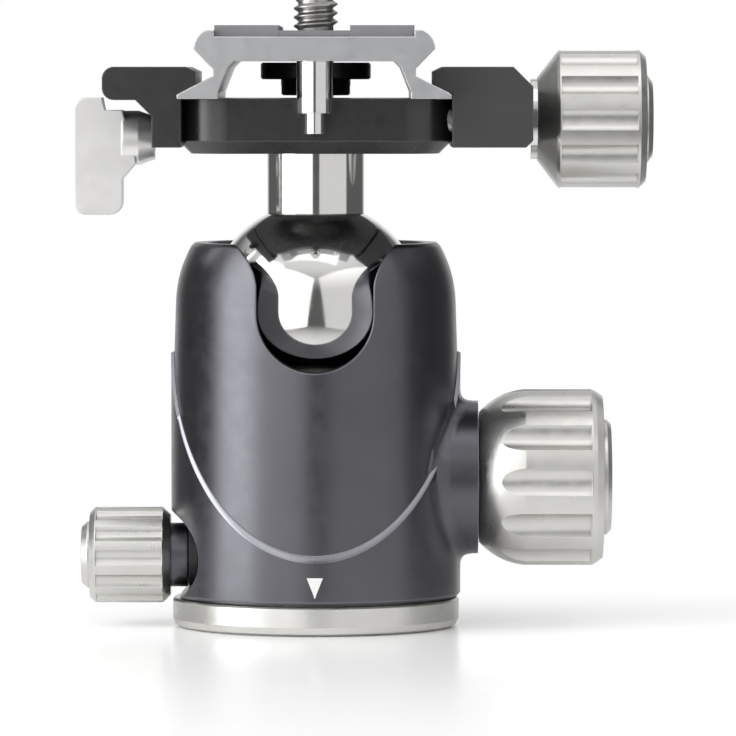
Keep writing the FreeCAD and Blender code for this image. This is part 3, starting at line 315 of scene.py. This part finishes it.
def machined_brass():
    """Machined brass: warm yellow with fine tool marks."""
    material, tree, place = new_material("machined_brass")
    soft = rounded(tree, 0.15)
    tint = blend_colours(tree, grain(tree, place, 2.0), colour("#c9a660"), colour("#d6b673"))
    marks = grain(tree, place, 0.35)
    return shade(
        material, tree,
        Base_Color=tint,
        Metallic=1.0,
        Roughness=between(tree, marks, 0.22, 0.34),
        Normal=raised(tree, marks, 0.002, soft),
    )


def moulded_nylon(name, first, second):
    """Moulded low-friction nylon, milky or dyed: a soft sheen."""
    material, tree, place = new_material(name)
    soft = rounded(tree, 0.2)
    tint = blend_colours(tree, grain(tree, place, 3.0), colour(first), colour(second))
    skin = grain(tree, place, 0.4)
    return shade(
        material, tree,
        Base_Color=tint,
        IOR=1.53,
        Roughness=between(tree, skin, 0.38, 0.5),
        Normal=raised(tree, skin, 0.003, soft),
    )


def moulded_rubber():
    """Moulded grip rubber: dull grey, ribbed across the plate's length."""
    material, tree, place = new_material("moulded_rubber")
    soft = rounded(tree, 0.3)
    tint = blend_colours(tree, grain(tree, place, 2.0), colour("#67676a"), colour("#747477"))
    ribs = add(tree, "TexWave", {"wave_type": "BANDS", "bands_direction": "Y"}, {
        "Vector": place, "Scale": ring_scale(1.2), "Distortion": 0.0,
    }).outputs["Fac"]
    pores = raised(tree, grain(tree, place, 0.25), 0.006, soft)
    return shade(
        material, tree,
        Base_Color=tint,
        IOR=1.52,
        Roughness=between(tree, grain(tree, place, 0.8), 0.62, 0.78),
        Normal=raised(tree, ribs, 0.12, pores),
    )


def cut_edge_painted_highlight():
    """The apron's cut edge, smoother than the wall, in a paler grey that paints its highlight."""
    material, tree, place = new_material("cut_edge_painted_highlight")
    # This paler grey paints the highlight along the edge.
    tint = blend_colours(tree, grain(tree, place, 4.0), colour("#818187"), colour("#8d8d93"))
    marks = grain(tree, place, 0.3)
    return shade(
        material, tree,
        Base_Color=tint,
        Metallic=1.0,
        Roughness=between(tree, marks, 0.22, 0.28),
        Normal=raised(tree, marks, 0.0015, rounded(tree, 0.1)),
    )


def marking_paint():
    """Pale paint in a shallow engraving: flat and a little uneven."""
    material, tree, place = new_material("marking_paint")
    tint = blend_colours(tree, grain(tree, place, 0.5), colour("#c4c4c4"), colour("#d6d6d4"))
    speck = grain(tree, place, 0.2)
    return shade(
        material, tree,
        Base_Color=tint,
        IOR=1.5,
        Roughness=between(tree, speck, 0.5, 0.65),
        Normal=raised(tree, speck, 0.004, rounded(tree, 0.05)),
    )


def white_floor():
    """A matt white sweep with a faint gloss, which thins out into the white room behind it."""
    material, tree, place = new_material("white_floor")
    patches = grain(tree, place, 60.0, 0.0)
    shader = add(tree, "BsdfPrincipled", {}, {
        "Base Color": blend_colours(tree, patches, colour("#fbfbfb"), colour("#fefefe")),
        "IOR": 1.38,
        "Roughness": 0.22,
    })
    distance = add(tree, "VectorMath", {"operation": "LENGTH"}, {0: place}).outputs["Value"]
    fade = add(tree, "MapRange", {"interpolation_type": "SMOOTHSTEP"}, {
        "Value": distance, "From Min": FLOOR_SOLID * MM, "From Max": FLOOR_END * MM,
    }).outputs["Result"]
    clear = add(tree, "BsdfTransparent").outputs[0]
    mixed = add(tree, "MixShader", {}, {0: fade, 1: shader.outputs[0], 2: clear})
    add(tree, "OutputMaterial", {}, {"Surface": mixed.outputs[0]})
    return material


# The room: a white floor and backdrop, soft boxes at both sides, and a darker camera side

FLOOR_SOLID = 40.0
FLOOR_END = 200.0
FLOOR_SIZE = 600.0
ROOM_LIGHT = 0.75
DARK_ROOM = 0.14


def light_room():
    """The world: white where the camera looks, and darker round the sides for the metal."""
    world = bpy.data.worlds.new("white_room")
    bpy.context.scene.world = world
    world.use_nodes = True
    tree = world.node_tree
    tree.nodes.clear()
    path = add(tree, "LightPath").outputs
    way = add(tree, "SeparateXYZ", {}, {
        "Vector": add(tree, "TexCoord").outputs["Generated"],
    }).outputs
    backdrop = add(tree, "MapRange", {"interpolation_type": "SMOOTHSTEP"}, {
        "Value": way["Y"], "From Min": 0.8, "From Max": 0.97, "To Min": DARK_ROOM, "To Max": 1.0,
    }).outputs["Result"]
    ceiling = add(tree, "MapRange", {"interpolation_type": "SMOOTHSTEP"}, {
        "Value": way["Z"], "From Min": 0.35, "From Max": 0.8, "To Min": DARK_ROOM, "To Max": 1.0,
    }).outputs["Result"]
    room = add(tree, "Math", {"operation": "MAXIMUM"}, {0: backdrop, 1: ceiling}).outputs[0]
    mirrored = add(tree, "Math", {"operation": "MAXIMUM"}, {
        0: path["Is Glossy Ray"], 1: path["Is Transmission Ray"],
    }).outputs[0]
    lit = add(tree, "Mix", {"data_type": "FLOAT"}, {0: mirrored, 2: ROOM_LIGHT, 3: room})
    seen = add(tree, "Mix", {"data_type": "FLOAT"}, {
        0: path["Is Camera Ray"], 2: lit.outputs[0], 3: 1.0,
    })
    sky = add(tree, "Background", {}, {"Color": colour("#ffffff"), "Strength": seen.outputs[0]})
    add(tree, "OutputWorld", {}, {"Surface": sky.outputs[0]})


# Each soft box: bearing from the camera side (left is plus) and tilt up in degrees, distance,
# width and height in millimetres, and level
SOFT_BOXES = {
    "left_panel": (44, 12, 750, 1150, 900, 1.5),
    "left_strip": (68, 14, 700, 480, 900, 2.6),
    "right_panel": (-43, 12, 750, 1050, 900, 0.78),
    "top_panel": (10, 76, 800, 800, 600, 0.7),
}
LIT_POINT = millimetres(5, 0, 45)


def hang_soft_boxes():
    """Area lamps round the camera side. A box's level is the brightness of its face."""
    for name, (bearing, tilt, distance, width, height, level) in SOFT_BOXES.items():
        data = bpy.data.lights.new(name, "AREA")
        data.shape = "RECTANGLE"
        data.size = width * MM
        data.size_y = height * MM
        data.energy = level * math.pi * data.size * data.size_y
        lamp = bpy.data.objects.new(name, data)
        bpy.context.scene.collection.objects.link(lamp)
        turn = math.radians(bearing)
        rise = math.radians(tilt)
        way = Vector((
            -math.sin(turn) * math.cos(rise),
            -math.cos(turn) * math.cos(rise),
            math.sin(rise),
        ))
        lamp.location = LIT_POINT + way * distance * MM
        lamp.rotation_mode = "QUATERNION"
        lamp.rotation_quaternion = (-way).to_track_quat("-Z", "Y")


def link_mesh(name, mesh):
    """An object for a finished bmesh."""
    data = bpy.data.meshes.new(name)
    mesh.to_mesh(data)
    mesh.free()
    made = bpy.data.objects.new(name, data)
    bpy.context.scene.collection.objects.link(made)
    return made


def lay_floor():
    """The floor under the base."""
    mesh = bmesh.new()
    bmesh.ops.create_grid(mesh, x_segments=8, y_segments=8, size=FLOOR_SIZE * MM)
    floor = link_mesh("floor", mesh)
    floor.data.materials.append(white_floor())


# Pieces

def sweep(sections, round_trip, closed_section=True):
    """Skins a row of sections that all have as many points, and closes its two ends or its ring."""
    mesh = bmesh.new()
    rows = [[mesh.verts.new(point) for point in section] for section in sections]
    count = len(rows[0])
    spans = count if closed_section else count - 1
    pairs = list(zip(rows, rows[1:]))
    if round_trip:
        pairs.append((rows[-1], rows[0]))
    for first, second in pairs:
        for i in range(spans):
            mesh.faces.new((first[i], first[(i + 1) % count], second[(i + 1) % count], second[i]))
    if not round_trip:
        mesh.faces.new(rows[0])
        mesh.faces.new(rows[-1])
    bmesh.ops.remove_doubles(mesh, verts=mesh.verts, dist=1e-7)
    bmesh.ops.dissolve_degenerate(mesh, edges=mesh.edges, dist=1e-7)
    return mesh


def turned(profile, closed_section=False, steps=96):
    """A form turned about the upright axis from points of (radius, height) in millimetres."""
    sections = []
    for step in range(steps):
        turn = FULL_TURN * step / steps
        across = Vector((math.cos(turn), math.sin(turn), 0))
        sections.append([across * (r * MM) + Vector((0, 0, z * MM)) for r, z in profile])
    return sweep(sections, True, closed_section)


# A thread's ridge: its sections a turn, those of its run-in and run-out, the least part of its
# height, and half its widths at the foot and at the crest as parts of the pitch
STEPS_A_TURN = 40
RUN_IN_STEPS = 12
LEAST_HEIGHT = 0.02
FOOT_HALF = 0.46
CREST_HALF = 0.07


def helix_ridge(root, crest, pitch, low, high):
    """One thread: a ridge from its root radius to its crest, between two heights, in mm."""
    turns = (high - low) / pitch - 1
    steps = round(turns * STEPS_A_TURN)
    foot, top = FOOT_HALF * pitch, CREST_HALF * pitch
    sections = []
    for step in range(steps + 1):
        turn = FULL_TURN * step / STEPS_A_TURN
        across = Vector((math.cos(turn), math.sin(turn), 0))
        middle_height = low + pitch / 2 + pitch * step / STEPS_A_TURN
        run_in = min(1, step / RUN_IN_STEPS, (steps - step) / RUN_IN_STEPS)
        tip = root + (crest - root) * max(run_in, LEAST_HEIGHT)
        shape = ((root, -foot), (tip, -top), (tip, top), (root, foot))
        sections.append([
            across * (r * MM) + Vector((0, 0, (middle_height + z) * MM)) for r, z in shape
        ])
    return sweep(sections, False)


def piece(name, mesh, material, body, crease=35):
    """A finished mesh with its material, riding on its body."""
    bmesh.ops.recalc_face_normals(mesh, faces=mesh.faces)
    sharp = math.radians(crease)
    for edge in mesh.edges:
        edge.smooth = len(edge.link_faces) == 2 and edge.calc_face_angle(0) < sharp
    for face in mesh.faces:
        face.smooth = True
    made = link_mesh(name, mesh)
    made.data.materials.append(material)
    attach(made, body)
    return made


# The casing's apron and wall radii, its edge's height in front and at the sides, how far the
# cut edge stands proud, and its width on the wall
APRON_RADIUS = 20.8
WALL_RADIUS = 20.35
APRON_FRONT = 10.7
APRON_PEAK = 39.3
EDGE_PROUD = 0.025
EDGE_BREAK = 0.25
APRON_STEPS = 240


def apron_edge():
    """The cut edge along the raised apron, all the way round, in a paler grey that paints its
    highlight.
    """
    slope = (APRON_PEAK - APRON_FRONT) / APRON_RADIUS
    sections = []
    for step in range(APRON_STEPS):
        turn = FULL_TURN * step / APRON_STEPS
        across = Vector((math.sin(turn), -math.cos(turn), 0))
        run = abs(math.cos(turn))
        foot = APRON_PEAK - slope * run * WALL_RADIUS
        corner = APRON_PEAK - slope * run * APRON_RADIUS
        shape = (
            (WALL_RADIUS + EDGE_PROUD, foot + EDGE_BREAK),
            (APRON_RADIUS + EDGE_PROUD, corner + EDGE_PROUD),
            (APRON_RADIUS + EDGE_PROUD, corner - EDGE_BREAK),
            (WALL_RADIUS - EDGE_BREAK, corner - EDGE_BREAK),
        )
        sections.append([across * (r * MM) + Vector((0, 0, z * MM)) for r, z in shape])
    return piece(
        "apron_edge", sweep(sections, True), cut_edge_painted_highlight(), "housing", 60
    )


# The main knob's boss and its fillet: how deep the fillet's back lies in the metal, how far its
# foot and corner are held off the wall and the boss, and where its rays start
BOSS_RADIUS = 11.0
BOSS_FILLET = 1.6
FILLET_SINK = 0.3
FOOT_PROUD = 0.01
CORNER_GAP = 0.05
OUTSIDE = 50.0
FILLET_STEPS = 120
FILLET_SPANS = 6


def boss_fillet(material):
    """The hollow fillet where the main knob's boss grows out of the casing's wall."""
    casing = frame["nodes"]["casing"]
    tree = BVHTree.FromPolygons(
        [v.co for v in casing.data.vertices],
        [tuple(p.vertices) for p in casing.data.polygons],
    )

    def wall(radius, turn):
        """The point of the casing's wall at that place round the boss."""
        y = MAIN_AXIS.y + radius * MM * math.cos(turn)
        z = MAIN_AXIS.z + radius * MM * math.sin(turn)
        hit = tree.ray_cast(Vector((OUTSIDE * MM, y, z)), Vector((-1, 0, 0)))
        return hit[0]

    back = millimetres(FILLET_SINK, 0, 0)
    sections = []
    for step in range(FILLET_STEPS):
        turn = FULL_TURN * step / FILLET_STEPS
        foot = wall(BOSS_RADIUS + BOSS_FILLET, turn) + millimetres(FOOT_PROUD, 0, 0)
        corner = wall(BOSS_RADIUS + CORNER_GAP, turn)
        top = corner + Vector((BOSS_FILLET * MM, 0, 0))
        section = []
        for k in range(FILLET_SPANS + 1):
            t = k / FILLET_SPANS
            section.append(foot * (1 - t) ** 2 + corner * 2 * t * (1 - t) + top * t ** 2)
        inwards = Vector((0, -math.cos(turn), -math.sin(turn))) * FILLET_SINK * MM
        section.append(top + inwards)
        section.append(corner + inwards - back)
        section.append(foot - back)
        sections.append(section)
    return piece("boss_fillet", sweep(sections, True), material, "housing", 50)


# The index mark: its heights, half width and rows, the part of that width left at its point,
# and how far it stands proud of the apron and is sunk in it
MARK_TOP = 8.4
MARK_BOTTOM = 5.5
MARK_HALF = 1.15
MARK_ROWS = 5
MARK_POINT = 0.04
MARK_PROUD = 0.02
MARK_SUNK = 0.08


def index_mark():
    """The small pale pointer low on the casing's front, for reading the pan angle."""
    faces = (
        (APRON_RADIUS + MARK_PROUD, (-1, 0, 1)),
        (APRON_RADIUS - MARK_SUNK, (1, 0, -1)),
    )
    sections = []
    for row in range(MARK_ROWS + 1):
        down = row / MARK_ROWS
        height = MARK_TOP + (MARK_BOTTOM - MARK_TOP) * down
        half = MARK_HALF * max(1 - down, MARK_POINT)
        section = []
        for radius, order in faces:
            for side in order:
                x = half * side
                section.append(millimetres(x, -math.sqrt(radius ** 2 - x ** 2), height))
        sections.append(section)
    return piece("index_mark", sweep(sections, False), marking_paint(), "housing")


# The camera screw: its quarter-inch thread, its neck, and the head under the deck
CAMERA_THREAD = 3.175
CAMERA_PITCH = 1.27
CAMERA_ROOT = 2.55
CAMERA_TIP_EDGE = 0.3
CAMERA_NECK = 2.5
NECK_END = 0.3
CORE_START = 0.2
RIDGE_START = 0.35
RIDGE_SINK = 0.1
HEAD_BOSS = 5.0
HEAD_BOSS_HEIGHT = 2.3
HEAD_FLANGE_HEIGHT = 2.4
HEAD_EDGE = 0.25
COIN_SLOT_HALF = 0.8
COIN_SLOT_DEPTH = 1.4
PAST_HEAD = 1.0


def camera_screw(head_material, thread_material):
    """The camera screw: a coin-slotted head under the deck, a neck, and a quarter-inch thread."""
    low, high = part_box("camera_screw")
    bottom, tip, flange = low.z / MM, high.z / MM, high.x / MM
    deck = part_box("camera_screw_clip")[1].z / MM
    seat = bottom + HEAD_BOSS_HEIGHT
    top = seat + HEAD_FLANGE_HEIGHT
    head = turned([
        (0, bottom), (HEAD_BOSS - HEAD_EDGE, bottom), (HEAD_BOSS, bottom + HEAD_EDGE),
        (HEAD_BOSS, seat), (flange - HEAD_EDGE, seat), (flange, seat + HEAD_EDGE),
        (flange, top - HEAD_EDGE), (flange - HEAD_EDGE, top), (CAMERA_NECK, top),
        (CAMERA_NECK, deck + NECK_END), (0, deck + NECK_END),
    ])
    head = piece("camera_screw_head", head, head_material, "camera_screw_turner")
    cut_slot(head, bottom, HEAD_BOSS + PAST_HEAD)
    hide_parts("camera_screw")
    core = turned([
        (0, deck + CORE_START), (CAMERA_ROOT, deck + CORE_START),
        (CAMERA_ROOT, tip - CAMERA_TIP_EDGE), (CAMERA_ROOT - CAMERA_TIP_EDGE, tip), (0, tip),
    ])
    piece("camera_screw_core", core, thread_material, "camera_screw_turner")
    ridge = helix_ridge(
        CAMERA_ROOT - RIDGE_SINK, CAMERA_THREAD, CAMERA_PITCH, deck + RIDGE_START, tip - RIDGE_SINK
    )
    piece("camera_screw_thread", ridge, thread_material, "camera_screw_turner")


def cut_slot(head, bottom, reach):
    """Cuts the straight coin slot across the underside of the camera screw's head."""
    below, floor = bottom - PAST_HEAD, bottom + COIN_SLOT_DEPTH
    outline = (
        (-COIN_SLOT_HALF, below), (COIN_SLOT_HALF, below),
        (COIN_SLOT_HALF, floor), (-COIN_SLOT_HALF, floor),
    )
    ends = [[millimetres(x, y, z) for y, z in outline] for x in (-reach, reach)]
    mesh = sweep(ends, False)
    bmesh.ops.recalc_face_normals(mesh, faces=mesh.faces)
    cutter = link_mesh("slot_cutter", mesh)
    cut = head.modifiers.new("slot", "BOOLEAN")
    cut.operation = "DIFFERENCE"
    cut.solver = "EXACT"
    cut.object = cutter
    ready = head.evaluated_get(bpy.context.evaluated_depsgraph_get())
    head.data = bpy.data.meshes.new_from_object(ready)
    head.modifiers.clear()
    bpy.data.objects.remove(cutter)


# The tripod's three-eighths-inch thread: its root and crest radii, pitch and lead-in edge, and how
# far its ridge is sunk in the insert and starts above the insert's bottom
TRIPOD_ROOT = 4.76
TRIPOD_CREST = 4.0
TRIPOD_PITCH = 1.5875
TRIPOD_EDGE = 0.4
TRIPOD_SINK = 0.05
TRIPOD_START = 0.1


def tripod_thread(material):
    """The steel insert in the base with its three-eighths-inch thread."""
    low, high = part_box("thread_insert")
    outer, bottom, top = high.x / MM, low.z / MM, high.z / MM
    sleeve = turned([
        (TRIPOD_ROOT + TRIPOD_EDGE, bottom), (outer, bottom), (outer, top), (TRIPOD_ROOT, top),
        (TRIPOD_ROOT, bottom + TRIPOD_EDGE),
    ], closed_section=True)
    sleeve = piece("tripod_insert", sleeve, material, "base")
    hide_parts("thread_insert")
    ridge = helix_ridge(
        TRIPOD_ROOT + TRIPOD_SINK, TRIPOD_CREST, TRIPOD_PITCH, bottom + TRIPOD_START, top
    )
    piece("tripod_thread", ridge, material, "base")


# The rubber band: half its width, its thickness, its height over the deck, its hole, and how far
# it stops short of the plate's ends
BAND_HALF = 5.0
BAND_THICK = 0.85
BAND_GAP = 0.02
BAND_HOLE = 3.7
BAND_END = 1.6
BAND_STEPS = 72


def rubber_band(material):
    """The thin rubber between the two pads, with a hole for the camera screw."""
    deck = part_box("camera_screw_clip")[1].z / MM + BAND_GAP
    top = deck + BAND_THICK
    long_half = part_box("quick_release_plate")[1].y / MM - BAND_END
    corner = math.atan2(long_half, BAND_HALF)
    turns = sorted(
        [FULL_TURN * k / BAND_STEPS for k in range(BAND_STEPS)]
        + [corner, math.pi - corner, math.pi + corner, FULL_TURN - corner]
    )
    sections = []
    for turn in turns:
        along, up = math.cos(turn), math.sin(turn)
        reach = min(BAND_HALF / max(abs(along), 1e-6), long_half / max(abs(up), 1e-6))
        sections.append([
            millimetres(r * along, r * up, z)
            for r, z in ((BAND_HOLE, deck), (reach, deck), (reach, top), (BAND_HOLE, top))
        ])
    return piece("rubber_band", sweep(sections, True), material, "plate_slider")


# The black sleeve that paints the shade round the pan screw: its two ends' distances from the
# casing's axis, its radius, the gap round the screw, and its broken edge
SLEEVE_INNER = 16.9
SLEEVE_OUTER = 18.3
SLEEVE_RADIUS = 4.6
SLEEVE_GAP = 0.05
SLEEVE_EDGE = 0.2
SLEEVE_STEPS = 64


def pan_screw_shade_sleeve(material):
    """A black sleeve round the pan lock's screw, put in the casing to paint the deep shade of the
    hollow there.
    """
    bore = (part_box("pan_lock_screw")[1].z - PAN_AXIS.z) / MM + SLEEVE_GAP
    centre = Vector((0, PAN_AXIS.y, PAN_AXIS.z))
    outline = (
        (SLEEVE_INNER, bore), (SLEEVE_INNER, SLEEVE_RADIUS),
        (SLEEVE_OUTER - SLEEVE_EDGE, SLEEVE_RADIUS), (SLEEVE_OUTER, SLEEVE_RADIUS - SLEEVE_EDGE),
        (SLEEVE_OUTER, bore),
    )
    sections = []
    for step in range(SLEEVE_STEPS):
        turn = FULL_TURN * step / SLEEVE_STEPS
        sections.append([
            centre + millimetres(-x, r * math.cos(turn), r * math.sin(turn)) for x, r in outline
        ])
    return piece("pan_screw_shade_sleeve", sweep(sections, True), material, "housing")


def dress_nodes(finishes, own_finishes):
    """Gives every CAD node the finish of its slot, or its own."""
    for part in frame["record"]["subparts"]:
        node = frame["nodes"][part["node"]]
        node.data.materials.clear()
        node.data.materials.append(own_finishes.get(part["node"], finishes[part["material_slot"]]))


bpy.context.scene.view_settings.view_transform = "Standard"
place_camera()
light_room()
hang_soft_boxes()
lay_floor()

base_silver = turned_silver("turned_silver_base", CASING_AXIS, "Z")
FINISHES = {
    "anodised_grey": grey_anodised_aluminium("grey_anodised_aluminium", 0.35),
    "anodised_black": black_anodised_aluminium(
        "black_anodised_aluminium", "#131314", "#1c1c1e", 0.26, 0.34
    ),
    "satin_silver": base_silver,
    "plate_silver": blasted_silver("blasted_silver_plate", "#b2b3b5", "#bebfc1"),
    "polished_steel": polished_steel(),
    "steel": machined_steel(),
    "black_steel": blackened_steel(),
    "brass": machined_brass(),
    "nylon": moulded_nylon("milky_nylon", "#d9d6cd", "#e3e0d8"),
    "rubber": moulded_rubber(),
}
main_silver = turned_silver("turned_silver_main_knob", MAIN_AXIS, "X")
pan_silver = turned_silver("turned_silver_pan_knob", PAN_AXIS, "X")
clamp_silver = turned_silver("turned_silver_clamp_knob", CLAMP_AXIS, "X")
black_nylon = moulded_nylon("black_nylon", "#0e0e0f", "#161617")
# The jaws' black aluminium is rougher, and its paler black paints the broad sheen their flat faces
# catch.
jaw_black_painted_sheen = black_anodised_aluminium("jaw_black_aluminium_painted_sheen", "#232325", "#2d2d2f", 0.4, 0.48)
OWN_FINISHES = {
    "ball_cup": FINISHES["anodised_black"],
    "clamp_jaw": jaw_black_painted_sheen,
    "cup_liner": black_nylon,
    "seat_ring": black_nylon,
    "main_knob": main_silver,
    "friction_dial": main_silver,
    "pan_knob": pan_silver,
    "pan_knob_cap": pan_silver,
    "clamp_knob": clamp_silver,
    "clamp_knob_cap": clamp_silver,
    # The lever's silver is paler than the plate's: the extra paleness paints the bright glare it
    # catches.
    "safety_lever": blasted_silver("blasted_silver_lever_painted_glare", "#dedddc", "#e9e8e6"),
}
dress_nodes(FINISHES, OWN_FINISHES)

apron_edge()
boss_fillet(grey_anodised_aluminium("grey_anodised_fillet", 0.02))
index_mark()
camera_screw(FINISHES["black_steel"], FINISHES["steel"])
tripod_thread(FINISHES["steel"])
rubber_band(FINISHES["rubber"])
pan_screw_shade_sleeve(black_nylon)
